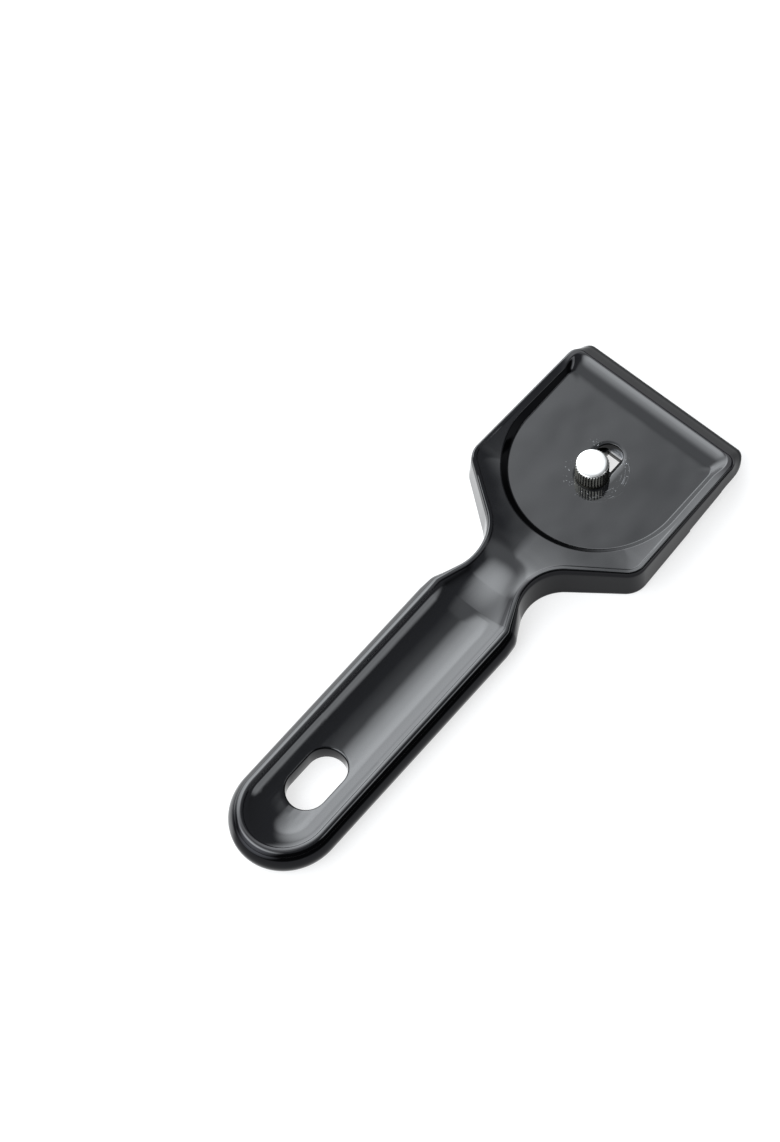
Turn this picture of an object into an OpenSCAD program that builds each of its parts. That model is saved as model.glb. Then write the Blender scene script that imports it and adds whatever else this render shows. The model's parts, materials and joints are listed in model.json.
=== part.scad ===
// Ceramic hob scraper: moulded handle and head, with a blade that slides out from under the head.
// +Y runs to the front lip, +X to the right, +Z up. The origin is at the bottom centre of the whole
// object, on the surface it rests on. All sizes are in millimetres.

/* [Handle] */
// Length of the handle, from its round end to the corners at the neck
handle_length = 81.4; // [70:0.1:95]
// Width of the handle at its widest
handle_width = 27; // [25:0.1:29]
// Height of the handle's raised edge
handle_height = 7.4; // [6.5:0.1:9]
// How far the raised edge stands in from the widest point
handle_bulge = 2.8; // [2:0.1:3.5]
// Depth of the finger trough along the handle
trough_depth = 2.3; // [1:0.1:3]
// Length of the rounded end, measured along the raised edge
end_round = 11.8; // [9:0.1:14]

/* [Hanging hole] */
// Length of the hanging hole
hole_length = 17; // [14:0.1:22]
// Width of the hanging hole
hole_width = 10.2; // [8:0.1:12]
// Distance from the round end to the middle of the hole
hole_setback = 24.8; // [20:0.1:30]
// Size of the softened edge of the hole
hole_lead = 0.6; // [0.2:0.1:1]

/* [Neck] */
// Length of the neck, from the handle's corners to the head's shoulders
neck_length = 30.3; // [28:0.1:36]
// Width of the neck between its raised edges, where the two slanted sides would meet
neck_meet_width = 9; // [8:0.1:11]
// Distance from the handle's corners to where the neck's slanted sides would meet
neck_meet = 14.9; // [13.5:0.1:16]
// Radius of the handle's corners at the neck
handle_corner_radius = 2.5; // [1.5:0.1:3]
// Radius of the neck's waist
waist_radius = 12; // [9:0.1:13]
// Highest point of the neck's raised edge
neck_height = 10.4; // [9.5:0.1:11.5]
// How far the neck's side flares outward on its way down
neck_flare = 1.5; // [1:0.1:2]

/* [Head] */
// Length of the head, from its shoulders to the front lip
head_length = 42.9; // [41:0.1:50]
// Width of the head between its raised edges at the shoulders
head_width = 50.7; // [49:0.1:56]
// How much narrower each side is at the front
head_taper = 0.9; // [0:0.1:1.2]
// Height of the raised edge at the shoulders
shoulder_height = 9.7; // [9.3:0.1:11]
// Height of the crest at the front
crest_height = 8.8; // [8.3:0.1:9.5]
// Radius of the shoulders
shoulder_radius = 5; // [3:0.1:7]
// Radius of the front corners
corner_radius = 2.5; // [2:0.1:4]
// Length of the bevel from the crest down to the lip
bevel_length = 4.3; // [3.5:0.1:6]
// Height of the lip's sharp upper edge
lip_height = 5.4; // [5.2:0.1:6]
// How far the head's side flares outward on its way down
head_flare = 1.1; // [0.8:0.1:1.6]
// Angle at which the underside of the head rises to the front
underside_angle = 4.2; // [3.5:0.1:4.6]
// How far ahead of the shoulders' rear the underside starts to rise
underside_start = -2.6; // [-4:0.1:0]

/* [Recess and slot] */
// Height of the recess floor
floor_height = 7.4; // [7.2:0.1:7.8]
// Thickness of the recess floor
floor_thickness = 2.6; // [2.2:0.1:2.8]
// Half the width of the recess floor
recess_half = 21.6; // [19:0.1:22]
// Distance from the head's shoulders to the middle of the recess's round rear end
recess_middle = 16.8; // [16:0.1:18]
// Run of the recess's side and rear wall for each millimetre of height
recess_slope = 0.85; // [0.4:0.05:1]
// Run of the recess's front wall for each millimetre of height
recess_front_slope = 1.6; // [1:0.1:1.8]
// Radius of the recess's front corners
recess_corner = 3.5; // [2:0.1:6]
// Width of the front crest, from the recess to the bevel
crest_width = 4.6; // [3.5:0.1:6]
// Width of the slot that the screw slides in
slot_width = 6.8; // [6.4:0.1:7.4]
// Size of the softened edge of the slot
slot_lead = 0.35; // [0.1:0.05:0.6]
// How far the blade slides out
travel = 6.4; // [4:0.1:7]
// Distance from the lip back to the screw with the blade drawn in
screw_setback = 28.4; // [28:0.1:30]

/* [Slide plate and carriage] */
// Thickness of the slide plate
plate_thickness = 1; // [0.8:0.1:1.1]
// Half the width of the plate's front wings at their front
wing_half = 25.3; // [24.5:0.1:25.6]
// Distance from the lip back to the plate's front edge with the blade drawn in
plate_setback = 8.7; // [8.5:0.1:10]
// Length of the plate's wings, which slide under the head's side walls
wing_length = 14.2; // [10:0.1:16]
// Size of the cut-off front corners of the wings
wing_corner = 1.5; // [0.5:0.1:3]
// Length of the plate and the carriage
carriage_length = 31.5; // [29:0.1:31.8]
// Half the width of the space under the head
cavity_half = 23.6; // [22.5:0.1:24]
// Radius of the rear corners of the space under the head
cavity_corner = 1; // [0.5:0.1:1.4]
// Distance from the plate's front edge back to the carriage's front edge
carriage_inset = 1.2; // [0.8:0.1:2]
// Width of the window ahead of the screw
window_width = 4.2; // [3:0.1:6]
// Length of the window ahead of the screw
window_length = 4.6; // [3:0.1:4.9]
// Distance from the middle to each rivet
rivet_x = 15; // [12:0.1:18]
// Distance from the screw back to the rivets
rivet_back = 5; // [3:0.1:7]
// Diameter of a rivet's shank
rivet_diameter = 3; // [2:0.1:4]
// Diameter of a rivet's heads
rivet_head = 5; // [4.6:0.1:6]
// Height of a rivet's heads
rivet_rise = 0.5; // [0.3:0.1:0.6]
// How deep a rivet's upper head lies below the top of the carriage
rivet_sink = 0.4; // [0.2:0.1:0.6]
// Thickness of the carriage over the nut
nut_cover = 0.85; // [0.7:0.05:1.1]

/* [Blade] */
// Width of the blade
blade_width = 39; // [36:0.1:42]
// Depth of the blade, from the back of its spine to the edge
blade_depth = 18.5; // [17:0.1:18.8]
// Thickness of the blade
blade_thickness = 0.25; // [0.2:0.05:0.4]
// Length of the ground edge
edge_grind = 1.2; // [0.6:0.1:2]
// Depth of the folded spine along the blade's back
spine_depth = 5; // [4:0.1:6]
// Thickness of the folded spine
spine_thickness = 1; // [0.8:0.05:1.05]
// Thickness of the spine's fold at the back
fold_back = 0.4; // [0.3:0.1:0.6]
// Distance from the plate's front edge back to the spine with the blade in place
spine_setback = 10.6; // [10.5:0.1:11.5]

/* [Screw] */
// Diameter of the knurled head
knob_diameter = 8.2; // [8:0.1:10]
// Height of the knurled head and its washer above the floor
knob_height = 6; // [5:0.1:9]
// Number of knurls round the head
knurl_count = 36; // [24:1:48]
// Depth of a knurl
knurl_depth = 0.25; // [0.1:0.05:0.35]
// Diameter of the screw's shank
shank_diameter = 4; // [3:0.1:4]
// How far the shank reaches out below the nut
shank_past = 0.5; // [0.2:0.1:0.6]
// Side of the square nut
nut_side = 7; // [6.5:0.1:8]
// Thickness of the square nut
nut_thickness = 2.2; // [1.8:0.1:2.4]
// Thickness of the washer
washer_thickness = 0.5; // [0.4:0.1:0.8]

/* [Clearances] */
// Gap round the shank in the nut and the washer, on the radius
shank_gap = 0.05; // [0.02:0.01:0.1]
// Gap between sliding faces
slide_gap = 0.1; // [0.05:0.01:0.15]
// Gap between the guide boss and the sides of the slot, and round the carriage in its space
guide_gap = 0.2; // [0.1:0.05:0.3]
// Gap round the blade and its spine in their pockets
pocket_gap = 0.1; // [0.05:0.01:0.2]
// Gap behind the slide plate with the blade drawn in
rear_gap = 0.8; // [0.4:0.1:1]

/* [Hidden] */
over = 1;              // how far a cut runs past a face
wide = 80;             // wider than the whole object
edge_soft = 0.35;      // softening of small machined edges
lap = 0.3;             // how far one shape reaches into the next where the two join

// places along the length
total_length = handle_length + neck_length + head_length;
end_y = -total_length / 2;
lip_y = total_length / 2;
handle_y = end_y + handle_length;
shoulder_y = lip_y - head_length;
crest_y = lip_y - bevel_length;
screw_y = lip_y - screw_setback;
hole_y = end_y + hole_setback;
plate_y = lip_y - plate_setback;
plate_back_y = plate_y - carriage_length;
wing_y = plate_y - wing_length;
cavity_y = plate_back_y - rear_gap;
spine_y = plate_y - spine_setback;
edge_y = spine_y + blade_depth;
rise_y = shoulder_y + underside_start;

// heights and half widths
ridge_half = handle_width / 2 - handle_bulge;
shoulder_half = head_width / 2;
front_half = shoulder_half - head_taper;
ceiling_z = floor_height - floor_thickness;
carriage_z = ceiling_z - slide_gap;
carriage_half = cavity_half - guide_gap;
spine_low = carriage_z - spine_thickness;
blade_low = carriage_z - (spine_thickness + blade_thickness) / 2;
plate_rise = plate_thickness / cos(underside_angle);
wall_low = plate_rise + 1.5 * slide_gap;
window_y = spine_y - window_length;
shank_r = shank_diameter / 2 - shank_gap;
nut_top = carriage_z - nut_cover;

function underside_z(y) = max(0, (y - rise_y) * tan(underside_angle));
function mix(a, b, t) = a + (b - a) * t;
function ease(t) = let(s = min(1, max(0, t))) s * s * (3 - 2 * s);
function unit(v) = v / norm(v);

// points of an arc of radius r that rounds the corner b between a and c
function rounded(a, b, c, r, n) =
    let(u = unit(a - b), v = unit(c - b), half = acos(u * v) / 2,
        middle = b + unit(u + v) * r / sin(half),
        from = b + u * r / tan(half) - middle,
        turn = (u[0] * v[1] - u[1] * v[0] > 0 ? -1 : 1) * (180 - 2 * half))
    [for (i = [0:n]) let(t = turn * i / n)
        middle + [from[0] * cos(t) - from[1] * sin(t), from[0] * sin(t) + from[1] * cos(t)]];

// corners of the raised edge on the right side
round_y = end_y + handle_bulge + end_round;
handle_corner = [ridge_half, handle_y];
neck_corner = [neck_meet_width / 2, handle_y + neck_meet];
shoulder_corner = [shoulder_half, shoulder_y];
front_corner = [front_half, crest_y];

// the raised edge from the handle's round end to the middle of the crest, right side
ridge = concat(
    [for (i = [0:14]) let(a = 90 * i / 14) [ridge_half * sin(a), round_y - end_round * cos(a)]],
    [for (i = [1:5]) [ridge_half, mix(round_y, handle_y - handle_corner_radius, i / 6)]],
    rounded([ridge_half, round_y], handle_corner, neck_corner, handle_corner_radius, 4),
    rounded(handle_corner, neck_corner, shoulder_corner, waist_radius, 14),
    rounded(neck_corner, shoulder_corner, front_corner, shoulder_radius, 8),
    [for (i = [1:6]) let(t = i / 7)
        [mix(shoulder_half, front_half, t), mix(shoulder_y + 3, crest_y - 3, t)]],
    rounded(shoulder_corner, front_corner, [0, crest_y], corner_radius, 6),
    [for (i = [1:4]) [front_half * (1 - i / 4) * 0.85, crest_y]]);
last = len(ridge) - 1;

// outward direction at each point of the raised edge
function outward(i) =
    i == 0 ? [0, -1] : i == last ? [0, 1] :
    let(d = unit(ridge[min(last, i + 1)] - ridge[i - 1])) [d[1], -d[0]];

// height of the raised edge, which climbs over the neck and falls gently to the crest
function ridge_z(y) =
    y < shoulder_y - 12
        ? mix(handle_height, neck_height, ease((y - handle_y + 4) / 20))
        : y < shoulder_y + 4
            ? mix(neck_height, shoulder_height, ease((y - shoulder_y + 12) / 16))
            : mix(shoulder_height, crest_height, (y - shoulder_y - 4) / (crest_y - shoulder_y - 4));

// how far the side stands out from the raised edge: handle, then neck, then head, then bevel
function flare(i) =
    let(y = ridge[i][1], d = outward(i))
    y > shoulder_y + 10 ? [d[0] * head_flare, d[1] * bevel_length] :
    d * mix(mix(handle_bulge, neck_flare, ease((y - handle_y + 3) / 9)),
            head_flare, ease((y - shoulder_y + 14) / 14));

// side profiles as [share of the flare, share of the height] from the raised edge down
handle_side = [[0, 0], [0.2, 0.02], [0.46, 0.1], [0.74, 0.24], [0.93, 0.4], [1, 0.56], [0.94, 0.75],
               [0.76, 0.91], [0.44, 1]];
head_side = [[0, 0], [0.22, 0.02], [0.36, 0.07], [0.47, 0.2], [0.58, 0.4], [0.7, 0.6], [0.84, 0.82],
             [0.92, 0.95], [0.7, 1]];
bevel_side = [[0, 0], [0.06, 0.01], [0.18, 0.1], [0.4, 0.27], [0.6, 0.43], [0.8, 0.6], [1, 0.76],
              [1, 0.9], [0.97, 1]];
function lip_share(k) =
    let(s = bevel_side[k], drop = (crest_height - lip_height) / (crest_height - underside_z(lip_y)))
    [s[0], k <= 6 ? s[1] * drop / bevel_side[6][1] : mix(drop, 1, (s[1] - 0.76) / 0.24)];
function side(i, k) =
    let(y = ridge[i][1], front = ease(outward(i)[1] * (y > shoulder_y + 10 ? 1 : 0)))
    mix(mix(handle_side[k], head_side[k], ease((y - handle_y + 3) / 12)), lip_share(k), front);
function side_point(i, k) =
    let(s = side(i, k), p = ridge[i] + flare(i) * s[0], top = ridge_z(ridge[i][1]))
    [p[0], p[1], mix(top, underside_z(p[1]), s[1])];

// top surface as [share of the way in to the middle, share of the trough's depth]
top_steps = [[0.07, 0.0], [0.13, 0.09], [0.24, 0.36], [0.38, 0.62], [0.55, 0.82], [0.74, 0.94], [0.92, 1]];
function trough(y) = trough_depth * (1 - ease((y - handle_y) / 17));
function top_point(i, k) =
    let(p = ridge[i], f = top_steps[k][0],
        rest_y = min(crest_y - 6, max(round_y, p[1])), y = mix(p[1], rest_y, f))
    [p[0] * (1 - f), y, ridge_z(p[1]) - trough(p[1]) * top_steps[k][1]];

// one column of points from the foot of the side up and over to the middle
foot = len(handle_side) - 1;
rows = foot + 1 + len(top_steps);
function column(i) = concat([for (k = [foot:-1:0]) side_point(i, k)],
                            [for (k = [0:len(top_steps) - 1]) top_point(i, k)]);
module shell_form() {
    columns = concat([for (i = [0:last]) column(i)],
                     [for (i = [last - 1:-1:1]) [for (p = column(i)) [-p[0], p[1], p[2]]]]);
    n = len(columns);
    points = [for (c = columns) each c];
    sides = [for (c = [0:n - 1]) for (k = [0:rows - 2])
        let(a = c * rows + k, b = (c + 1) % n * rows + k)
        each [[a, a + 1, b + 1], [a, b + 1, b]]];
    // the two closing strips join each right column to its mirror image
    under = [for (i = [0:last - 1])
        let(a = i * rows, b = a + rows, c = (n - i - 1) * rows, d = (n - i) % n * rows)
        each i == 0 ? [[a, b, c]] : i == last - 1 ? [[a, b, d]] : [[a, b, c], [a, c, d]]];
    over_top = [for (f = under) [f[2] + rows - 1, f[1] + rows - 1, f[0] + rows - 1]];
    polyhedron(points, concat(sides, under, over_top), convexity = 8);
}

// outline of the recess at height z: round at the rear, with two soft corners at the front
module recess_layer(z, side_run, front_run) {
    r = recess_half + side_run;
    translate([0, 0, z]) linear_extrude(0.01) {
        translate([0, shoulder_y + recess_middle]) intersection() {
            circle(r = r, $fn = 96);
            translate([-wide / 2, -wide]) square([wide, wide]);
        }
        for (x = [recess_corner - r, r - recess_corner])
            translate([x, crest_y - crest_width - recess_corner + front_run])
                circle(r = recess_corner, $fn = 32);
    }
}
module recess() {
    rise = 3.5;
    hull() {
        recess_layer(floor_height, 0, 0);
        recess_layer(floor_height + rise, rise * recess_slope, rise * recess_front_slope);
    }
}

// straight slot with round ends, from y0 to y1, whose radius goes from r0 at z0 to r1 at z1
module long_hole(y0, y1, r0, r1, z0, z1) {
    hull()
        for (y = [y0, y1])
            translate([0, y, z0]) cylinder(r1 = r0, r2 = r1, h = z1 - z0, $fn = 48);
}
module hanging_hole() {
    r = hole_width / 2;
    y0 = hole_y - (hole_length - hole_width) / 2;
    y1 = hole_y + (hole_length - hole_width) / 2;
    edge_z = handle_height - trough_depth;
    long_hole(y0, y1, r, r, -over, handle_height + over);
    long_hole(y0, y1, r, r + hole_lead, edge_z - hole_lead / 2, edge_z + 3 * hole_lead / 2);
    long_hole(y0, y1, r + hole_lead / 2, r, -0.01, hole_lead);
}
module screw_slot() {
    r = slot_width / 2;
    y1 = screw_y + travel;
    long_hole(screw_y, y1, r, r, ceiling_z - over, floor_height + over);
    long_hole(screw_y, y1, r, r + slot_lead, floor_height - slot_lead, floor_height + 0.01);
    long_hole(screw_y, y1, r + slot_lead, r, ceiling_z - 0.01, ceiling_z + slot_lead);
}

// space under the head that the carriage slides in, open at the front
module carriage_space() {
    hull()
        for (x = [-1, 1], y = [cavity_y + cavity_corner, lip_y + 10 * over])
            translate([x * (cavity_half - cavity_corner), y, -over])
                cylinder(r = cavity_corner, h = ceiling_z + over, $fn = 32);
}
// space over the plate's wings: the side walls stop short of them over their whole travel
module wing_space() {
    front_z = underside_z(plate_y) + wall_low;
    translate([-wide / 2, 0, 0]) rotate([90, 0, 90]) linear_extrude(wide)
        polygon([[wing_y - guide_gap, -over], [lip_y + over, -over], [lip_y + over, front_z],
                 [plate_y, front_z], [wing_y - guide_gap, underside_z(wing_y) + wall_low]]);
}

module body() {
    color("#1c1c1e") difference() {
        shell_form();
        recess();
        screw_slot();
        hanging_hole();
        carriage_space();
        wing_space();
    }
}

// a piece that lies in the sloping underside of the head: local z 0 is that plane
module on_underside() {
    translate([0, rise_y, 0]) rotate([underside_angle, 0, 0]) translate([0, -rise_y, 0]) children();
}
module window() {
    translate([-window_width / 2, window_y, -over])
        cube([window_width, window_length, ceiling_z + 2 * over]);
}
module nut_pocket() {
    s = nut_side + 2 * pocket_gap;
    translate([-s / 2, screw_y - s / 2, -over]) cube([s, s, nut_top + over]);
}
module rivet_places() {
    for (x = [-1, 1]) translate([x * rivet_x, screw_y - rivet_back, 0]) children();
}

module slide_plate() {
    wing_back = wing_half + head_taper * wing_length / (crest_y - shoulder_y);
    color("#202022") difference() {
        on_underside() linear_extrude(plate_thickness) polygon([
            [-carriage_half, plate_back_y], [carriage_half, plate_back_y], [carriage_half, wing_y],
            [wing_back, wing_y], [wing_half, plate_y - wing_corner],
            [wing_half - wing_corner, plate_y], [wing_corner - wing_half, plate_y],
            [-wing_half, plate_y - wing_corner], [-wing_back, wing_y], [-carriage_half, wing_y]]);
        window();
        nut_pocket();
        on_underside() rivet_places()
            translate([0, 0, -over]) cylinder(d = rivet_diameter, h = plate_thickness + 2 * over, $fn = 32);
    }
}

module blade_carriage() {
    front_y = plate_y - carriage_inset;
    slot_r = slot_width / 2 - guide_gap;
    blade_half = blade_width / 2 + pocket_gap;
    color("#1e1e20") difference() {
        union() {
            translate([-carriage_half, 0, 0]) rotate([90, 0, 90]) linear_extrude(2 * carriage_half)
                polygon([[plate_back_y, underside_z(plate_back_y) + plate_rise],
                         [front_y, underside_z(front_y) + plate_rise],
                         [front_y, carriage_z], [plate_back_y, carriage_z]]);
            translate([0, screw_y, carriage_z - lap])
                cylinder(r = slot_r, h = floor_thickness - 2 * slide_gap + lap, $fn = 48);
        }
        translate([0, screw_y, -over])
            cylinder(r = shank_diameter / 2 + shank_gap, h = floor_height + 2 * over, $fn = 48);
        nut_pocket();
        window();
        translate([-blade_half, spine_y - pocket_gap, spine_low - pocket_gap / 2])
            cube([2 * blade_half, spine_depth + 2 * pocket_gap, over + spine_thickness]);
        translate([-blade_half, spine_y + spine_depth - pocket_gap, blade_low - pocket_gap / 2])
            cube([2 * blade_half, blade_depth, over + spine_thickness]);
        on_underside() rivet_places() {
            cylinder(d = rivet_diameter, h = ceiling_z + over, $fn = 32);
            translate([0, 0, rivet_tail()]) cylinder(d = rivet_head, h = ceiling_z, $fn = 32);
        }
    }
}
// where the closed end of a rivet starts, measured from the plate's underside
function rivet_tail() =
    carriage_z * cos(underside_angle) - underside_z(screw_y - rivet_back) - rivet_rise - rivet_sink;

module plate_rivets() {
    color("silver") on_underside() rivet_places() {
        translate([0, 0, -rivet_rise])
            cylinder(d1 = rivet_head - 2 * rivet_rise, d2 = rivet_head, h = rivet_rise, $fn = 32);
        cylinder(d = rivet_diameter, h = rivet_tail(), $fn = 32);
        translate([0, 0, rivet_tail()]) cylinder(d = rivet_head, h = rivet_rise, $fn = 32);
    }
}

module captive_nut() {
    z = nut_top - nut_thickness;
    color("silver") difference() {
        translate([-nut_side / 2, screw_y - nut_side / 2, z]) cube([nut_side, nut_side, nut_thickness]);
        translate([0, screw_y, z - over])
            cylinder(r = shank_diameter / 2, h = nut_thickness + 2 * over, $fn = 48);
    }
}

module thumb_screw() {
    low = floor_height + washer_thickness + slide_gap;
    high = floor_height + knob_height;
    r = knob_diameter / 2;
    rim_r = r - knurl_depth - edge_soft / 4;
    tip_z = nut_top - nut_thickness - shank_past;
    step = 360 / knurl_count;
    color("#e9e7e2") translate([0, screw_y, 0]) {
        translate([0, 0, low + edge_soft]) linear_extrude(high - low - 2 * edge_soft)
            polygon([for (i = [0:knurl_count - 1]) for (h = [0, 0.25, 0.5, 0.75])
                let(a = (i + h) * step, q = h == 0.5 ? r : h == 0 ? r - knurl_depth : r - knurl_depth / 2)
                [q * cos(a), q * sin(a)]]);
        translate([0, 0, high - edge_soft])
            cylinder(r1 = rim_r, r2 = rim_r - edge_soft / 2, h = edge_soft, $fn = 64);
        translate([0, 0, low]) cylinder(r1 = rim_r - edge_soft / 2, r2 = rim_r, h = edge_soft, $fn = 64);
        translate([0, 0, tip_z + edge_soft])
            cylinder(r = shank_r, h = low - tip_z - edge_soft, $fn = 48);
        translate([0, 0, tip_z]) cylinder(r1 = shank_r - edge_soft, r2 = shank_r, h = edge_soft, $fn = 48);
    }
}

module screw_washer() {
    color("silver") translate([0, screw_y, floor_height + slide_gap / 2]) difference() {
        cylinder(d = knob_diameter - 0.2, h = washer_thickness, $fn = 64);
        translate([0, 0, -over])
            cylinder(r = shank_diameter / 2 + shank_gap, h = washer_thickness + 2 * over, $fn = 48);
    }
}

module blade() {
    back_y = spine_y + fold_back;
    top = blade_low + blade_thickness;
    color("#c9ccd0") translate([-blade_width / 2, 0, 0]) rotate([90, 0, 90]) linear_extrude(blade_width)
        polygon([[back_y, blade_low], [edge_y - edge_grind, blade_low],
                 [edge_y, mix(blade_low, top, 0.45)], [edge_y, mix(blade_low, top, 0.55)],
                 [edge_y - edge_grind, top], [back_y, top]]);
}

// strip folded over the blade's back: its two sides lie on the blade's faces
module blade_spine() {
    back_y = spine_y + fold_back;
    front_y = spine_y + spine_depth;
    top = spine_low + spine_thickness;
    color("#b7babf") translate([-blade_width / 2, 0, 0]) rotate([90, 0, 90]) linear_extrude(blade_width)
        polygon([[spine_y, spine_low], [front_y, spine_low], [front_y, blade_low], [back_y, blade_low],
                 [back_y, blade_low + blade_thickness], [front_y, blade_low + blade_thickness],
                 [front_y, top], [spine_y, top]]);
}

body();
slide_plate();
blade_carriage();
plate_rivets();
captive_nut();
thumb_screw();
screw_washer();
blade();
blade_spine();
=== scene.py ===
"""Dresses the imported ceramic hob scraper: its moulded body, knurled screw, finishes, light and camera."""

from __future__ import annotations

import json
import logging
import math
from dataclasses import dataclass, field
from enum import Enum
from typing import Callable, Sequence, Union

import bmesh
import bpy
from mathutils import Matrix, Vector
from mathutils.kdtree import KDTree

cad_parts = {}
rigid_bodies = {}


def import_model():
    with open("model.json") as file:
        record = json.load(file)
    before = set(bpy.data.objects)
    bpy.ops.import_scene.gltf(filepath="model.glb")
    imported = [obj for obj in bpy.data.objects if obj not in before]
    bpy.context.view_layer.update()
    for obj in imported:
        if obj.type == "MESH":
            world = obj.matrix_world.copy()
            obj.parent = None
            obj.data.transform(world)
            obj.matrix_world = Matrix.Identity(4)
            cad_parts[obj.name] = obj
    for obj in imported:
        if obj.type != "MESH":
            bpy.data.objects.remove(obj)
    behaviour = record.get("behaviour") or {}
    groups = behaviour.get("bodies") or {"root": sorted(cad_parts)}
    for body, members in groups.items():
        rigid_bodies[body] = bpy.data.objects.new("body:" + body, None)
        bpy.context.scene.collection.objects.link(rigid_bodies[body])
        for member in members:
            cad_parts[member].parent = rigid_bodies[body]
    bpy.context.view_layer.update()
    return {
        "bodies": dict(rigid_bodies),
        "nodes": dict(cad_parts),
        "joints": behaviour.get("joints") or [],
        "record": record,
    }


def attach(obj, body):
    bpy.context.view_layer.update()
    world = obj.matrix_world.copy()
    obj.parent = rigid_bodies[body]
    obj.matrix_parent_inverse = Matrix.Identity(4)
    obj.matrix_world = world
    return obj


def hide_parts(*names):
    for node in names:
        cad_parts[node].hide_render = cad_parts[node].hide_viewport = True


LOG = logging.getLogger("hob_scraper")
MM = 0.001
Row = list[Vector]
Span = tuple[float, float]
Socket = bpy.types.NodeSocket
Value = Union[Socket, float, Sequence[float]]
Color = tuple[float, float, float]
Mesh = bmesh.types.BMesh
Vert = bmesh.types.BMVert

# Shares of the way in at which rows of points lie: on the foot, over the trough and on a straight cut.
FOOT_SHARES = (0, .3, .7, 1)
TROUGH_SHARES = (.06, .13, .21, .3, .4, .5, .6, .7, .8, .9, 1)
CUT_SHARES = (.04, .09, .15, .22, .3, .39, .49, .6, .72, .86, 1)
# Distances outside the recess's brink and outside its floor at which rows of points lie.
BRINK_ROWS = (.24, .15, .08, .03, -.02, -.07, -.13, -.2)
FLOOR_ROWS = (.24, .16, .1, .05, 0, -.05, -.1, -.17, -.28)
# The trough's section: share of the way in, and share of the depth there.
TROUGH_FALL = ((.04, 0), (.13, .09), (.24, .36), (.38, .62), (.55, .82), (.74, .94), (.92, 1), (1.01, 1))
# The sides' sections, from the raised edge down: share of the flare, and share of the height.
HANDLE_SIDE = ((0, 0), (.2, .02), (.46, .1), (.74, .24), (.93, .4), (1, .56), (.94, .75), (.76, .91),
               (.44, 1))
HEAD_SIDE = ((0, 0), (.22, .02), (.36, .07), (.47, .2), (.58, .4), (.7, .6), (.84, .82), (.92, .95),
             (.7, 1))
# The front's section down to the lip: share of the bevel's length, and share of its drop.
BEVEL_SIDE = ((0, 0), (.06, .013), (.18, .13), (.4, .355), (.6, .566), (.8, .79), (1, 1))
# The lip's section down to the foot: share of the bevel's length, and share of the lip's height.
LIP_SIDE = ((1, .58), (.97, 1))
# The screw head's two edges: distance outside the knurls' roots, and distance from the end face.
TOP_EDGE = ((-.9, 0), (-.3, 0), (-.16, .015), (-.06, .06), (0, .14), (.01, .18))
LOW_EDGE = ((.01, .34), (0, .2), (-.08, .08), (-.25, 0))
# Distances from the head's two end faces at which the knurls themselves have rows.
KNURL_TOP = (.34, 1.6)
KNURL_LOW = (1.6, .5)


class Node(Enum):
    """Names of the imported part's solids."""

    BODY = "body"
    SLIDE_PLATE = "slide_plate"
    CARRIAGE = "blade_carriage"
    RIVETS = "plate_rivets"
    NUT = "captive_nut"
    SCREW = "thumb_screw"
    WASHER = "screw_washer"
    BLADE = "blade"
    SPINE = "blade_spine"


class Rigid(Enum):
    """Names of the bodies that pieces ride on."""

    HANDLE = "handle"
    CARRIAGE = "carriage"
    WASHER = "washer"
    SCREW = "screw"


def mix(a: float, b: float, t: float) -> float:
    """Gives the value a share t of the way from a to b."""
    return a + (b - a) * t


def ease(t: float) -> float:
    """Gives a smooth step from 0 to 1."""
    s = min(1.0, max(0.0, t))
    return s * s * (3 - 2 * s)

def fade(y: float, origin: float, span: Span) -> float:
    """Gives a smooth step that starts span[0] past the origin and takes a length of span[1]."""
    return ease((y - origin - span[0]) / span[1])



def soft_max(a: float, b: float, k: float) -> float:
    """Gives the larger of two values, rounded over a width k where they meet."""
    h = max(0.0, k - abs(a - b)) / k
    return max(a, b) + h * h * k / 4


def soft_min(a: float, b: float, k: float) -> float:
    """Gives the smaller of two values, rounded over a width k where they meet."""
    return -soft_max(-a, -b, k)


def spot(middle: Vector, way: Vector, r: float) -> tuple[float, float]:
    """Gives the place at a distance from a point, in plan."""
    return middle.x + way.x * r, middle.y + way.y * r


def halve(low: float, high: float, inside: Callable[[float], bool], steps: int) -> float:
    """Finds where a test that holds at low stops holding on the way to high.

    Args:
        low: A place where the test holds.
        high: A place where it doesn't.
        inside: The test.
        steps: How often the stretch is halved.

    Returns:
        The place.
    """
    for _ in range(steps):
        r = (low + high) / 2
        low, high = (r, high) if inside(r) else (low, r)
    return low


def rounded(a: Vector, b: Vector, c: Vector, r: float, n: int) -> Row:
    """Rounds the corner b between a and c.

    Args:
        a: Point before the corner.
        b: The corner.
        c: Point after the corner.
        r: Radius of the arc.
        n: Number of steps along the arc.

    Returns:
        The points of the arc, in plan.
    """
    u, v = (a - b).normalized(), (c - b).normalized()
    half = math.acos(max(-1.0, min(1.0, u.dot(v)))) / 2
    middle = b + (u + v).normalized() * r / math.sin(half)
    start = b + u * r / math.tan(half) - middle
    turn = (-1 if u.x * v.y - u.y * v.x > 0 else 1) * (math.pi - 2 * half)
    arc = []
    for i in range(n + 1):
        t = turn * i / n
        arc.append(middle + Vector((start.x * math.cos(t) - start.y * math.sin(t),
                                    start.x * math.sin(t) + start.y * math.cos(t))))
    return arc


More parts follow.
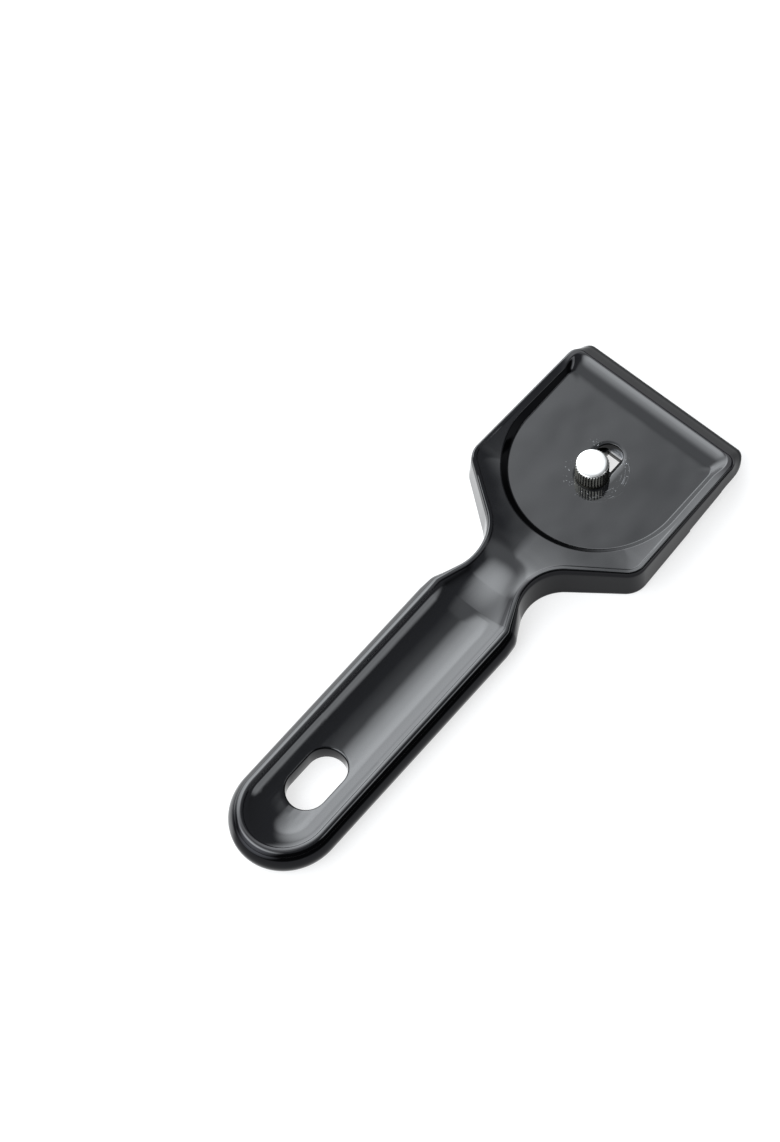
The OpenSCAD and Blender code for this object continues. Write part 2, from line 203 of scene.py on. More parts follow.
def spline(knots: Sequence[tuple[float, float]], steps: int) -> list[tuple[float, float]]:
    """Runs a smooth curve through a list of knots.

    Args:
        knots: The points that the curve passes through.
        steps: Steps between each two knots.

    Returns:
        The points of the curve, ends included.
    """
    curve = []
    for i in range(len(knots) - 1):
        p = [knots[max(0, i - 1)], knots[i], knots[i + 1], knots[min(len(knots) - 1, i + 2)]]
        for j in range(steps):
            t = j / steps
            curve.append(tuple(
                0.5 * (2 * p[1][c] + (p[2][c] - p[0][c]) * t
                       + (2 * p[0][c] - 5 * p[1][c] + 4 * p[2][c] - p[3][c]) * t * t
                       + (3 * p[1][c] - p[0][c] - 3 * p[2][c] + p[3][c]) * t ** 3) for c in (0, 1)))
    curve.append(knots[-1])
    return [(min(1.0, a), min(1.0, b)) for a, b in curve]


def sweep(bm: Mesh, rows: Sequence[Row], closed: bool) -> None:
    """Extrudes a chain of edges from row to row.

    Args:
        bm: The mesh that the rows are added to.
        rows: Rows of points with the same count each.
        closed: Whether each row is a ring.
    """
    def pairs() -> list[tuple[Vert, Vert]]:
        """Gives each two neighbours of the row."""
        return list(zip(line, line[1:] + (line[:1] if closed else [])))

    line = [bm.verts.new(p) for p in rows[0]]
    edges = [bm.edges.new(pair) for pair in pairs()]
    for row in rows[1:]:
        made = bmesh.ops.extrude_edge_only(bm, edges=edges)["geom"]
        fresh = {v for v in made if isinstance(v, Vert)}
        line = [next(o for o in (e.other_vert(v) for e in v.link_edges) if o in fresh) for v in line]
        for vert, place in zip(line, row):
            vert.co = place
        edges = [bm.edges.get(pair) for pair in pairs()]


def rim_edges(ring: Sequence[Vert]) -> list[bmesh.types.BMEdge]:
    """Gives the open edges that join a ring's points."""
    inside = set(ring)
    return [e for e in {e for v in ring for e in v.link_edges}
            if len(e.link_faces) == 1 and inside.issuperset(e.verts)]


def block(width: float, y: Span, z: Span) -> Mesh:
    """Makes a box about x = 0 from its width and its ends along y and z.

    Args:
        width: Its width along x.
        y: Its two ends along y.
        z: Its two ends along z.

    Returns:
        The box.
    """
    bm = bmesh.new()
    bmesh.ops.create_cube(bm, size=1)
    bmesh.ops.scale(bm, vec=(width, y[1] - y[0], z[1] - z[0]), verts=bm.verts)
    bmesh.ops.translate(bm, vec=(0, (y[0] + y[1]) / 2, (z[0] + z[1]) / 2), verts=bm.verts)
    return bm


def shade(mesh: bpy.types.Mesh, sharp_deg: float) -> None:
    """Shades a mesh smooth, apart from edges sharper than an angle."""
    mesh.polygons.foreach_set("use_smooth", [True] * len(mesh.polygons))
    mesh.set_sharp_from_angle(angle=math.radians(sharp_deg))


def make_object(name: str, bm: Mesh, sharp_deg: float = 40.0) -> bpy.types.Object:
    """Turns a mesh drawn in millimetres into an object in metres.

    Args:
        name: Name of the piece.
        bm: The mesh, which is freed.
        sharp_deg: Edges sharper than this stay sharp.

    Returns:
        The new object, at the origin.
    """
    bmesh.ops.scale(bm, vec=(MM, MM, MM), verts=bm.verts)
    mesh = bpy.data.meshes.new(name)
    bm.to_mesh(mesh)
    bm.free()
    shade(mesh, sharp_deg)
    piece = bpy.data.objects.new(name, mesh)
    bpy.context.scene.collection.objects.link(piece)
    return piece


@dataclass(frozen=True)
class LongHole:
    """A long hole through the body, seen from a point inside it."""

    middle: Vector
    rear: float
    front: float
    radius: float
    lead: float

    def reach(self, way: Vector) -> float:
        """Gives the distance from the point to the hole's wall in a direction.

        Args:
            way: The direction, in plan.

        Returns:
            The distance.
        """
        if abs(way.x) > 1e-9:
            flat = self.radius / abs(way.x)
            if self.rear <= flat * way.y <= self.front:
                return flat
        y = self.front if way.y > 0 else self.rear
        return way.y * y + math.sqrt(max(0.0, self.radius ** 2 - (way.x * y) ** 2))

    def rim(self, way: Vector) -> float:
        """Gives the distance to the outer edge of the mouth's rounding."""
        return self.reach(way) + self.lead


@dataclass
class MouldedBody:
    """The one-piece handle and head, with its trough, hanging hole, recess, slot and blade space."""

    # The handle, its trough and its hanging hole.
    end_y: float = -77.3
    handle_length: float = 81.4
    lip_y: float = 77.3
    head_length: float = 42.9
    handle_width: float = 27.0
    handle_height: float = 7.4
    handle_bulge: float = 2.8
    trough_depth: float = 2.3
    end_round: float = 11.8
    hole_length: float = 17.0
    hole_width: float = 10.2
    hole_setback: float = 24.8
    hole_lead: float = 0.6
    # The neck.
    neck_meet_width: float = 9.0
    neck_meet: float = 14.9
    handle_corner_radius: float = 2.5
    waist_radius: float = 12.0
    neck_height: float = 10.4
    neck_flare: float = 1.5
    # The head.
    head_width: float = 50.7
    head_taper: float = 0.9
    shoulder_height: float = 9.7
    crest_height: float = 8.8
    shoulder_radius: float = 5.0
    corner_radius: float = 2.5
    bevel_length: float = 4.3
    lip_height: float = 5.4
    head_flare: float = 1.1
    underside_deg: float = 4.2
    underside_start: float = -2.6
    # The recess and its slot.
    floor_height: float = 7.4
    floor_thickness: float = 2.6
    recess_half: float = 21.6
    recess_middle: float = 16.8
    recess_slope: float = 0.85
    sweep: float = 6.2
    recess_corner: float = 2.0
    crest_width: float = 4.6
    slot_width: float = 6.8
    slot_lead: float = 0.35
    # The lands beside the recess, and the bead that the raised edge carries.
    land_tilt: float = 0.09
    land_reach: float = 6.0
    bead_width: float = 0.75
    bead_run: float = 0.22
    bead_drop: float = 0.13
    bead_zone: float = 4.0
    # The groove along the side, its row, and the steps between each two knots of the side's section.
    groove_row: int = 7
    groove_depth: float = 0.24
    side_steps: int = 3
    # The spaces under the head, for the carriage and for the plate's wings.
    travel: float = 6.4
    screw_setback: float = 28.4
    plate_setback: float = 8.7
    wing_length: float = 14.2
    plate_thickness: float = 1.0
    carriage_length: float = 31.5
    cavity_half: float = 23.6
    cavity_corner: float = 1.0
    rear_gap: float = 0.8
    wing_gap: float = 0.15
    wing_play: float = 0.2
    overrun: float = 5.0
    # How softly surfaces meet at the recess's brink and at its floor, and how far out that is worked out.
    brink_round: float = 0.16
    floor_round: float = 0.2
    recess_reach: float = 8.0
    # Where one form gives way to the next: start from the handle's end, and length.
    neck_climb: Span = (-4, 20)
    trough_end: Span = (0, 17)
    lean_start: Span = (4, 14)
    bulge_end: Span = (-3, 9)
    side_change: Span = (-3, 12)
    # The same from the shoulder, and for the last one from the crest.
    shoulder_fall: Span = (-12, 16)
    bead_end: Span = (2, 16)
    flare_start: Span = (-14, 14)
    flank_start: float = 10.0
    lean_end: Span = (-8, 6)
    # Where the skins are laid in regions, and how closely their rows of points may lie.
    tail_end: float = -40.0
    head_start: float = 23.5
    waist_reach: float = 20.0
    foot_steps: int = 12
    crease_start: float = 5.0
    crease_margin: float = 0.1
    brink_margin: float = 0.35
    edge_margin: float = 0.04
    row_gap: float = 0.0004
    # Rows over the head: across the land, down the recess's wall and over its floor.
    head_steps: tuple[int, int, int] = (10, 5, 14)
    # Rows of a mouth's rounding, the height that tells upper from lower, and how near its rim's points lie.
    mouth_steps: int = 5
    mouth_split: float = 1.5
    mouth_near: float = 0.01
    # Parts of each step of the raised edge, between which the distance from it is measured.
    rim_parts: int = 8
    # Steps along the raised edge: round end, handle, its corner, waist, flank, shoulder, head, corner, crest.
    ridge_steps: tuple[int, ...] = (44, 84, 8, 44, 18, 16, 44, 12, 36)
    ridge: Row = field(default_factory=list)

    def __post_init__(self) -> None:
        """Works out the places that follow from the sizes."""
        self.handle_y = self.end_y + self.handle_length
        self.shoulder_y = self.lip_y - self.head_length
        self.crest_y = self.lip_y - self.bevel_length
        self.screw_y = self.lip_y - self.screw_setback
        self.rise_y = self.shoulder_y + self.underside_start
        self.round_y = self.end_y + self.handle_bulge + self.end_round
        self.ridge_half = self.handle_width / 2 - self.handle_bulge
        self.front_half = self.head_width / 2 - self.head_taper
        self.ceiling = self.floor_height - self.floor_thickness
        self.recess_y = self.shoulder_y + self.recess_middle
        straight = (self.hole_length - self.hole_width) / 2
        self.hole = LongHole(Vector((0, self.end_y + self.hole_setback)), -straight, straight,
                             self.hole_width / 2, self.hole_lead)
        self.slot = LongHole(Vector((0, self.recess_y)), self.screw_y - self.recess_y,
                             self.screw_y + self.travel - self.recess_y, self.slot_width / 2, self.slot_lead)
        self.ridge = self.half_ridge()
        parts = range(self.rim_parts)
        fine = [a.lerp(b, i / self.rim_parts) for a, b in zip(self.ridge, self.ridge[1:]) for i in parts]
        self.rim_tree = KDTree(len(fine))
        for i, p in enumerate(fine):
            self.rim_tree.insert((p.x, p.y, 0), i)
        self.rim_tree.balance()
        drop = (self.crest_height - self.lip_height) / (self.crest_height - self.underside(self.lip_y))
        bevel = [(out, down * drop) for out, down in BEVEL_SIDE]
        bevel += [(out, mix(drop, 1, down)) for out, down in LIP_SIDE]
        self.sides = [spline(knots, self.side_steps) for knots in (HANDLE_SIDE, HEAD_SIDE, bevel)]

    def half_ridge(self) -> Row:
        """Gives the raised edge on the right side, from the round end to the middle of the crest, in plan.

        Returns:
            The points of the edge.
        """
        def run(target: Vector, steps: int) -> None:
            """Adds a straight stretch of points, short of the target."""
            start = line[-1]
            line.extend(start.lerp(target, i / steps) for i in range(1, steps))

        corner = Vector((self.ridge_half, self.handle_y))
        meet = Vector((self.neck_meet_width / 2, self.handle_y + self.neck_meet))
        shoulder = Vector((self.head_width / 2, self.shoulder_y))
        front = Vector((self.front_half, self.crest_y))
        crest = Vector((0, self.crest_y))
        steps = self.ridge_steps
        angles = [math.pi / 2 * i / steps[0] for i in range(steps[0] + 1)]
        line = [Vector((self.ridge_half * math.sin(a), self.round_y - self.end_round * math.cos(a)))
                for a in angles]
        handle_arc = rounded(line[-1], corner, meet, self.handle_corner_radius, steps[2])
        waist_arc = rounded(corner, meet, shoulder, self.waist_radius, steps[3])
        shoulder_arc = rounded(meet, shoulder, front, self.shoulder_radius, steps[5])
        front_arc = rounded(shoulder, front, crest, self.corner_radius, steps[7])
        run(corner - Vector((0, self.handle_corner_radius)), steps[1])
        line += handle_arc + waist_arc
        run(shoulder_arc[0], steps[4])
        line += shoulder_arc
        run(front_arc[0], steps[6])
        line += front_arc
        run(crest, steps[8])
        return line + [crest]

    def underside(self, y: float) -> float:
        """Gives the height of the body's underside."""
        return max(0.0, (y - self.rise_y) * math.tan(math.radians(self.underside_deg)))

    def ridge_z(self, y: float) -> float:
        """Gives the height of the raised edge, which climbs over the neck and falls to the crest.

        Args:
            y: Place along.

        Returns:
            The height.
        """
        fall_y = self.shoulder_y + sum(self.shoulder_fall)
        if y < self.shoulder_y + self.shoulder_fall[0]:
            return mix(self.handle_height, self.neck_height, fade(y, self.handle_y, self.neck_climb))
        if y < fall_y:
            return mix(self.neck_height, self.shoulder_height, fade(y, self.shoulder_y, self.shoulder_fall))
        return mix(self.shoulder_height, self.crest_height, (y - fall_y) / (self.crest_y - fall_y))

    def half_width(self, y: float) -> float:
        """Gives the half width between the raised edges at y.

        Args:
            y: Place along.

        Returns:
            The half width.
        """
        for a, b in zip(self.ridge, self.ridge[1:]):
            if a.y <= y <= b.y and b.y > a.y:
                return mix(a.x, b.x, (y - a.y) / (b.y - a.y))
        return self.ridge_half

    def way_in(self, x: float, y: float) -> float:
        """Gives how far a point lies from the raised edge towards the middle, from 0 to 1.

        Args:
            x: Place across.
            y: Place along.

        Returns:
            The share.
        """
        if y < self.round_y:
            return 1 - min(1.0, math.hypot(x / self.ridge_half, (y - self.round_y) / self.end_round))
        return 1 - min(1.0, abs(x) / self.half_width(y))

    def recess_distance(self, x: float, y: float) -> tuple[float, float]:
        """Gives the distance outside the recess floor's outline and how far forward its edge faces there.

        Args:
            x: Place across.
            y: Place along.

        Returns:
            The distance, and the facing from -1 to 1.
        """
        r, front = self.recess_half, self.crest_y - self.crest_width
        if y <= self.recess_y:
            d = math.hypot(x, y - self.recess_y)
            return d - r, (y - self.recess_y) / max(d, 1e-6)
        qx, qy = abs(x) - (r - self.recess_corner), y - (front - self.recess_corner)
        if qx > 0 and qy > 0:
            d = math.hypot(qx, qy)
            return d - self.recess_corner, qy / d
        return (abs(x) - r, 0.0) if abs(x) - r > y - front else (y - front, 1.0)

    def top(self, x: float, y: float) -> float:
        """Gives the height of the upper surface.

        Args:
            x: Place across.
            y: Place along.

        Returns:
            The height.
        """
        share, fall = self.way_in(x, y), 0.0
        for a, b in zip(TROUGH_FALL, TROUGH_FALL[1:]):
            if a[0] <= share <= b[0]:
                fall = mix(a[1], b[1], (share - a[0]) / (b[0] - a[0]))
        depth = self.trough_depth * (1 - fade(y, self.handle_y, self.trough_end))
        height = self.land(x, y) - depth * fall
        d, forward = self.recess_distance(x, y)
        if d > self.recess_reach or y < self.shoulder_y - self.recess_reach:
            return height
        return soft_min(height, self.floor_height + self.wall(d, forward), self.brink_round)

    def wall(self, d: float, forward: float) -> float:
        """Gives how far the recess's wall rises above the floor at a distance outside the floor's outline.

        Args:
            d: Distance outside the floor's outline.
            forward: How far forward the outline faces there, from -1 to 1.

        Returns:
            The rise: a plain slope at the sides and the rear, and a gentle sweep up to the crest in front.
        """
        plain = soft_max(0.0, d / self.recess_slope, self.floor_round)
        run = max(0.0, (d + self.sweep - self.crest_width) / self.sweep)
        return mix(plain, (self.crest_height - self.floor_height) * run * run, ease(forward))

    def inset(self, x: float, y: float) -> float:
        """Gives the distance in plan from the raised edge."""
        return self.rim_tree.find((abs(x), y, 0))[2]

    def land(self, x: float, y: float) -> float:
        """Gives the height inside the raised edge: a narrow bead, then land that leans in.

        Args:
            x: Place across.
            y: Place along.

        Returns:
            The height.
        """
        inset = self.inset(x, y)
        lean = self.land_tilt * self.land_reach * (1 - math.exp(-inset / self.land_reach))
        bead = self.bead_drop * ease((inset - self.bead_width) / self.bead_run)
        bead *= 1 - fade(y, self.shoulder_y, self.bead_end)
        lean *= fade(y, self.handle_y, self.lean_start) * (1 - fade(y, self.crest_y, self.lean_end))
        return self.ridge_z(y) - bead - lean

    def bead_rows(self, middle: Vector, way: Vector, reach: float) -> list[float]:
        """Finds where a column crosses the bead's top and its inner step.

        Args:
            middle: Point that the column runs towards.
            way: Direction of the column, outwards.
            reach: Distance to the raised edge.

        Returns:
            The distances from the middle, from the raised edge inwards.
        """
        width, run = self.bead_width, self.bead_run
        # Two rows on the bead's top, two at its inner edge, four down its step and one just past it.
        levels = [.12, .3, width - .08, width, *(width + run * share for share in (.25, .5, .75, 1)),
                  width + run + .15]
        nearest = max(0.0, reach - self.bead_zone)
        return [reach] + [halve(nearest, reach, lambda r: self.inset(*spot(middle, way, r)) > level, steps=18)
                          for level in levels]

    def outward(self, i: int) -> Vector:
        """Gives the outward direction of the raised edge in plan.

        Args:
            i: Point of the raised edge.

        Returns:
            The direction.
        """
        last = len(self.ridge) - 1
        if i == 0 or i == last:
            return Vector((0, -1 if i == 0 else 1))
        d = (self.ridge[i + 1] - self.ridge[i - 1]).normalized()
        return Vector((d.y, -d.x))

    def side(self, i: int) -> Row:
        """Gives one column of the side, from the raised edge down to the foot, on the right.

        Args:
            i: Point of the raised edge.

        Returns:
            The points of the column.
        """
        p, d = self.ridge[i], self.outward(i)
        ahead = p.y > self.shoulder_y + self.flank_start
        front = ease(d.y) if ahead else 0.0
        if ahead:
            flare = Vector((d.x * self.head_flare, d.y * self.bevel_length))
        else:
            out = mix(self.handle_bulge, self.neck_flare, fade(p.y, self.handle_y, self.bulge_end))
            flare = d * mix(out, self.head_flare, fade(p.y, self.shoulder_y, self.flare_start))
        blend = fade(p.y, self.handle_y, self.side_change)
        column = []
        for row, (a, b, c) in enumerate(zip(*self.sides)):
            out, down = (mix(mix(a[k], b[k], blend), c[k], front) for k in (0, 1))
            q = p + flare * out
            if row == self.groove_row:
                q -= d * self.groove_depth * (1 - front)
            column.append(Vector((q.x, q.y, mix(self.ridge_z(p.y), self.underside(q.y), down))))
        return column

    def ring(self, rim: Row, middle: Vector, rows: Callable[[Vector, float], list[float]],
             height: Callable[[float, float], float]) -> list[Row]:
        """Lays rows of points from a closed rim in towards a hole.

        Args:
            rim: The closed rim, in plan.
            middle: Point inside the hole that every column runs towards.
            rows: Gives the distances from the middle at which a column has points.
            height: Gives the surface's height at a place.

        Returns:
            The rows, from the rim inwards.
        """
        columns = []
        for p in rim:
            reach = (p - middle).length
            way = (p - middle) / reach
            places = [spot(middle, way, r) for r in rows(way, reach)]
            columns.append([Vector((x, y, height(x, y))) for x, y in places])
        return [list(row) for row in zip(*columns)]

    def cut(self, i: int, foot: bool) -> Row:
        """Gives a straight row from the right edge to the left edge at outline point i, in plan.

        Args:
            i: Point of the raised edge.
            foot: Whether the row lies on the foot.

        Returns:
            The points of the row.
        """
        p = self.side(i)[-1] if foot else self.ridge[i]
        if foot:
            places = [p.x * (1 - step / self.foot_steps) for step in range(self.foot_steps + 1)]
        else:
            places = self.bead_rows(Vector((0, p.y)), Vector((1, 0)), p.x)
            places += [places[-1] * (1 - share) for share in CUT_SHARES]
        right = [Vector((x, p.y)) for x in places]
        return right + [Vector((-q.x, q.y)) for q in reversed(right[:-1])]

    def build(self) -> bpy.types.Object:
        """Builds the body as one closed skin and cuts the blade space out of it.

        Returns:
            The body, at the origin.
        """
        points = range(len(self.ridge))
        head_cut = min((i for i in points if self.ridge[i].x <= self.waist_reach),
                       key=lambda i: abs(self.ridge[i].y - self.head_start))
        tail_cut = min(points, key=lambda i: abs(self.ridge[i].y - self.tail_end))
        columns = [self.side(i) for i in points]
        loop = columns + [[Vector((-p.x, p.y, p.z)) for p in c] for c in reversed(columns[1:-1])]
        bm = bmesh.new()
        sweep(bm, [list(row) for row in zip(*loop)], True)
        for foot in (False, True):
            self.skin(bm, head_cut, tail_cut, foot)
        for hole in (self.hole, self.slot):
            rings = [self.mouth(bm, hole, upper) for upper in (True, False)]
            bmesh.ops.bridge_loops(bm, edges=[e for ring in rings for e in rim_edges(ring)])
        bmesh.ops.remove_doubles(bm, verts=bm.verts, dist=0.004)
        bmesh.ops.dissolve_degenerate(bm, dist=0.002, edges=bm.edges)
        bmesh.ops.recalc_face_normals(bm, faces=bm.faces)
        open_edges = sum(1 for e in bm.edges if len(e.link_faces) != 2)
        LOG.info("body skin: %d faces, %d open edges", len(bm.faces), open_edges)
        body = make_object("moulded_body", bm)
        self.carve(body, [self.blade_space(), self.wing_space()])
        return body

    def rim_plan(self, first: int, final: int, cut: Row, foot: bool) -> Row:
        """Gives the closed rim of an end region, in plan: both sides of the outline, and the cut.

        Args:
            first: First point of the raised edge.
            final: Last point of it.
            cut: The straight row that closes the rim.
            foot: Whether the rim lies on the foot.

        Returns:
            The points of the rim.
        """
        right = [self.side(i)[-1 if foot else 0].xy for i in range(first, final + 1)]
        left = [Vector((-p.x, p.y)) for p in right]
        if first == 0:
            right.reverse()
        else:
            left.reverse()
        return right[:-1] + left + cut[-2:0:-1]

    def skin(self, bm: Mesh, head_cut: int, tail_cut: int, foot: bool) -> None:
        """Adds the upper or the lower skin in three regions: round end, handle and neck, and head.

        Args:
            bm: The mesh that is added to.
            head_cut: Outline point where the head's region starts.
            tail_cut: Outline point where the round end's region stops.
            foot: Whether this is the lower skin.
        """
        height = (lambda x, y: self.underside(y)) if foot else self.top

        def foot_rows(inner: float, reach: float) -> list[float]:
            """Gives the few rows of the lower skin."""
            return [mix(reach, inner, share) for share in FOOT_SHARES]

        def hole_rows(way: Vector, reach: float) -> list[float]:
            """Gives the rows over the trough, from the raised edge to the hanging hole.

            Args:
                way: Direction of the column.
                reach: Distance to the raised edge.

            Returns:
                The distances from the hole's middle.
            """
            inner = self.hole.rim(way)
            if foot:
                return foot_rows(inner, reach)
            rows = self.bead_rows(self.hole.middle, way, reach)
            return rows + [mix(rows[-1], inner, share) for share in TROUGH_SHARES]

        def head_rows(way: Vector, reach: float) -> list[float]:
            """Gives the rows over the head, from the raised edge to the slot.

            Args:
                way: Direction of the column.
                reach: Distance to the raised edge.

            Returns:
                The distances from the recess's middle.
            """
            inner = self.slot.rim(way)
            if foot:
                return foot_rows(inner, reach)
            floor, brink = self.creases(self.slot.middle, way, reach)
            brink = min(brink, reach + BRINK_ROWS[-1])
            rows = self.bead_rows(self.slot.middle, way, reach)
            outer = min(brink + self.brink_margin, rows[-1])
            land, wall, flat = self.head_steps
            rows += [mix(rows[-1], outer, i / land) for i in range(1, land + 1)]
            rows += [brink + d for d in BRINK_ROWS]
            rows += [mix(rows[-1], floor + FLOOR_ROWS[0], i / wall) for i in range(1, wall)]
            rows += [floor + d for d in FLOOR_ROWS]
            rows += [mix(rows[-1], inner, i / flat) for i in range(1, flat + 1)]
            rows[1:-1] = sorted((min(r, reach - self.edge_margin) for r in rows[1:-1]), reverse=True)
            return [max(r - i * self.row_gap, inner) for i, r in enumerate(rows)]

        tail_rim = self.rim_plan(0, tail_cut, self.cut(tail_cut, foot), foot)
        head_rim = self.rim_plan(head_cut, len(self.ridge) - 1, self.cut(head_cut, foot), foot)
        sweep(bm, self.ring(tail_rim, self.hole.middle, hole_rows, height), True)
        sweep(bm, self.ring(head_rim, self.slot.middle, head_rows, height), True)
        strip = [[Vector((p.x, p.y, height(p.x, p.y))) for p in self.cut(i, foot)]
                 for i in range(tail_cut, head_cut + 1)]
        sweep(bm, strip, False)

    def creases(self, middle: Vector, way: Vector, reach: float) -> tuple[float, float]:
        """Finds where the recess's wall starts from its floor and where it meets the land.

        Args:
            middle: The recess's middle.
            way: Direction in plan.
            reach: Distance to the raised edge in that direction.

        Returns:
            The distances of the two creases from the middle.
        """
        def on_floor(r: float) -> bool:
            """Tells whether a place lies within the floor's outline."""
            return self.recess_distance(*spot(middle, way, r))[0] < 0

        def under_land(r: float) -> bool:
            """Tells whether the wall is still lower than the land there."""
            x, y = spot(middle, way, r)
            return self.wall(*self.recess_distance(x, y)) < self.land(x, y) - self.floor_height

        high = reach - self.crease_margin
        floor, brink = (halve(self.crease_start, high, test, steps=26) for test in (on_floor, under_land))
        return floor, brink

    def mouth(self, bm: Mesh, hole: LongHole, upper: bool) -> list[Vert]:
        """Rounds one mouth of a hole, from the skin's inner rim down to the wall.

        Args:
            bm: The mesh that is added to.
            hole: The hole.
            upper: Whether this is the upper mouth.

        Returns:
            The ring of points where the rounding meets the wall.
        """
        rim = []
        for vert in (v for v in bm.verts if any(len(e.link_faces) == 1 for e in v.link_edges)):
            way = vert.co.xy - hole.middle
            high = vert.co.z > self.underside(vert.co.y) + self.mouth_split
            if high == upper and abs(way.length - hole.rim(way.normalized())) < self.mouth_near:
                rim.append(vert)
        edges = rim_edges(rim)
        quarter = [math.pi / 2 * step / self.mouth_steps for step in range(self.mouth_steps + 1)]
        for a, b in zip(quarter, quarter[1:]):
            made = bmesh.ops.extrude_edge_only(bm, edges=edges)["geom"]
            sink = hole.lead * (math.cos(a) - math.cos(b))
            for vert in (v for v in made if isinstance(v, Vert)):
                way = (vert.co.xy - hole.middle).normalized()
                spot = hole.middle + way * (hole.rim(way) - hole.lead * math.sin(b))
                vert.co = (spot.x, spot.y, vert.co.z - sink if upper else vert.co.z + sink)
            edges = [e for e in made if isinstance(e, bmesh.types.BMEdge) and len(e.link_faces) == 1]
        return list({v for e in edges for v in e.verts})

    def blade_space(self) -> bpy.types.Object:
        """Gives the cutter for the space that the carriage slides in.

        Returns:
            The cutter.
        """
        rear = self.lip_y - self.plate_setback - self.carriage_length - self.rear_gap
        bm = block(width=2 * self.cavity_half, y=(rear, self.lip_y + 2 * self.overrun), z=(-3, self.ceiling))
        posts = [e for e in bm.edges if all(v.co.y < rear + 1 for v in e.verts)
                 and abs(e.verts[0].co.x - e.verts[1].co.x) < 1e-6]
        bmesh.ops.bevel(bm, geom=posts, offset=self.cavity_corner, segments=6, profile=0.5, affect="EDGES",
                        material=-1)
        return make_object("cutter_blade_space", bm)

    def wing_space(self) -> bpy.types.Object:
        """Gives the cutter for the space over the slide plate's wings.

        Returns:
            The cutter.
        """
        plate_y = self.lip_y - self.plate_setback
        gap = self.plate_thickness / math.cos(math.radians(self.underside_deg)) + self.wing_gap
        rear = plate_y - self.wing_length - self.wing_play
        bm = block(width=90, y=(rear, self.lip_y + self.overrun), z=(-2, 0))
        bmesh.ops.bisect_plane(bm, geom=bm.verts[:] + bm.edges[:] + bm.faces[:], plane_co=(0, plate_y, 0),
                               plane_no=(0, 1, 0))
        for vert in bm.verts:
            if vert.co.z > -1:
                vert.co.z = self.underside(min(vert.co.y, plate_y)) + gap
        return make_object("cutter_wing_space", bm)

    @staticmethod
    def carve(body: bpy.types.Object, cutters: Sequence[bpy.types.Object]) -> None:
        """Cuts solids out of the body and keeps the result as its mesh.

        Args:
            body: The piece that is cut.
            cutters: Solids to cut out, which are removed afterwards.
        """
        for cutter in cutters:
            step = body.modifiers.new("cut", "BOOLEAN")
            step.operation, step.solver, step.object = "DIFFERENCE", "EXACT", cutter
        graph = bpy.context.evaluated_depsgraph_get()
        mesh = bpy.data.meshes.new_from_object(body.evaluated_get(graph))
        body.modifiers.clear()
        body.data = mesh
        mesh.name = body.name
        for cutter in cutters:
            bpy.data.objects.remove(cutter, do_unlink=True)
        shade(mesh, sharp_deg=38)
        LOG.info("body carved: %d faces", len(mesh.polygons))


@dataclass
class KnurledScrew:
    """The thumb screw: a straight-knurled head on a threaded shank."""

    y: float = 48.9
    low: float = 8.0
    high: float = 13.4
    radius: float = 4.1
    knurls: int = 36
    knurl_depth: float = 0.25
    knurl_steps: int = 12
    center: float = 0.02
    shank_radius: float = 1.95
    shank_steps: int = 48
    tip: float = 1.15
    tip_bevel: float = 0.2
    tip_share: float = 0.78
    pitch: float = 0.7
    thread_depth: float = 0.34
    thread_start: float = 0.8
    thread_steps: int = 8

    def ring(self, count: int, z: float, reach: Callable[[float], float]) -> Row:
        """Gives a ring of points round the screw's axis, whose distance from it follows the angle."""
        angles = [2 * math.pi * i / count for i in range(count)]
        return [Vector((reach(a) * math.cos(a), self.y + reach(a) * math.sin(a), z)) for a in angles]

    def knurled(self, a: float) -> float:
        """Gives the distance of the knurls from the axis at an angle."""
        return self.radius - self.knurl_depth * abs(math.cos(a * self.knurls / 2))

    def threaded(self, a: float, z: float) -> float:
        """Gives the distance of the thread from the axis at an angle and a height.

        Args:
            a: The angle.
            z: The height.

        Returns:
            The distance.
        """
        phase = (z / self.pitch - a / (2 * math.pi)) % 1
        depth = self.thread_depth * ease((self.low - z) / self.thread_start)
        return self.shank_radius - depth * abs(2 * phase - 1)

    def build(self) -> bpy.types.Object:
        """Sweeps the knurled head and the threaded shank.

        Returns:
            The screw, at the origin.
        """
        bm = bmesh.new()
        steps = self.knurls * self.knurl_steps
        root = self.radius - self.knurl_depth
        profile = [(self.center, self.high)] + [(root + r, self.high - z) for r, z in TOP_EDGE]
        profile += [(self.radius, self.high - z) for z in KNURL_TOP]
        profile += [(self.radius, self.low + z) for z in KNURL_LOW]
        profile += [(root + r, self.low + z) for r, z in LOW_EDGE]
        profile.append((self.shank_radius + self.center, self.low))
        head = [self.ring(steps, z, self.knurled if r == self.radius else lambda a: r) for r, z in profile]
        sweep(bm, head, True)
        count = int((self.low - self.tip) / self.pitch * self.thread_steps)
        heights = [mix(self.low, self.tip + self.tip_bevel, k / count) for k in range(count + 1)]
        shank = [self.ring(self.shank_steps, z, lambda a: self.threaded(a, z)) for z in heights]
        shank.append([Vector((v.x * self.tip_share, mix(self.y, v.y, self.tip_share), self.tip))
                      for v in shank[-1]])
        sweep(bm, shank, True)
        bmesh.ops.holes_fill(bm, edges=[e for e in bm.edges if len(e.link_faces) == 1], sides=0)
        bmesh.ops.remove_doubles(bm, verts=bm.verts, dist=0.001)
        bmesh.ops.recalc_face_normals(bm, faces=bm.faces)
        return make_object("knurled_screw", bm, sharp_deg=35)


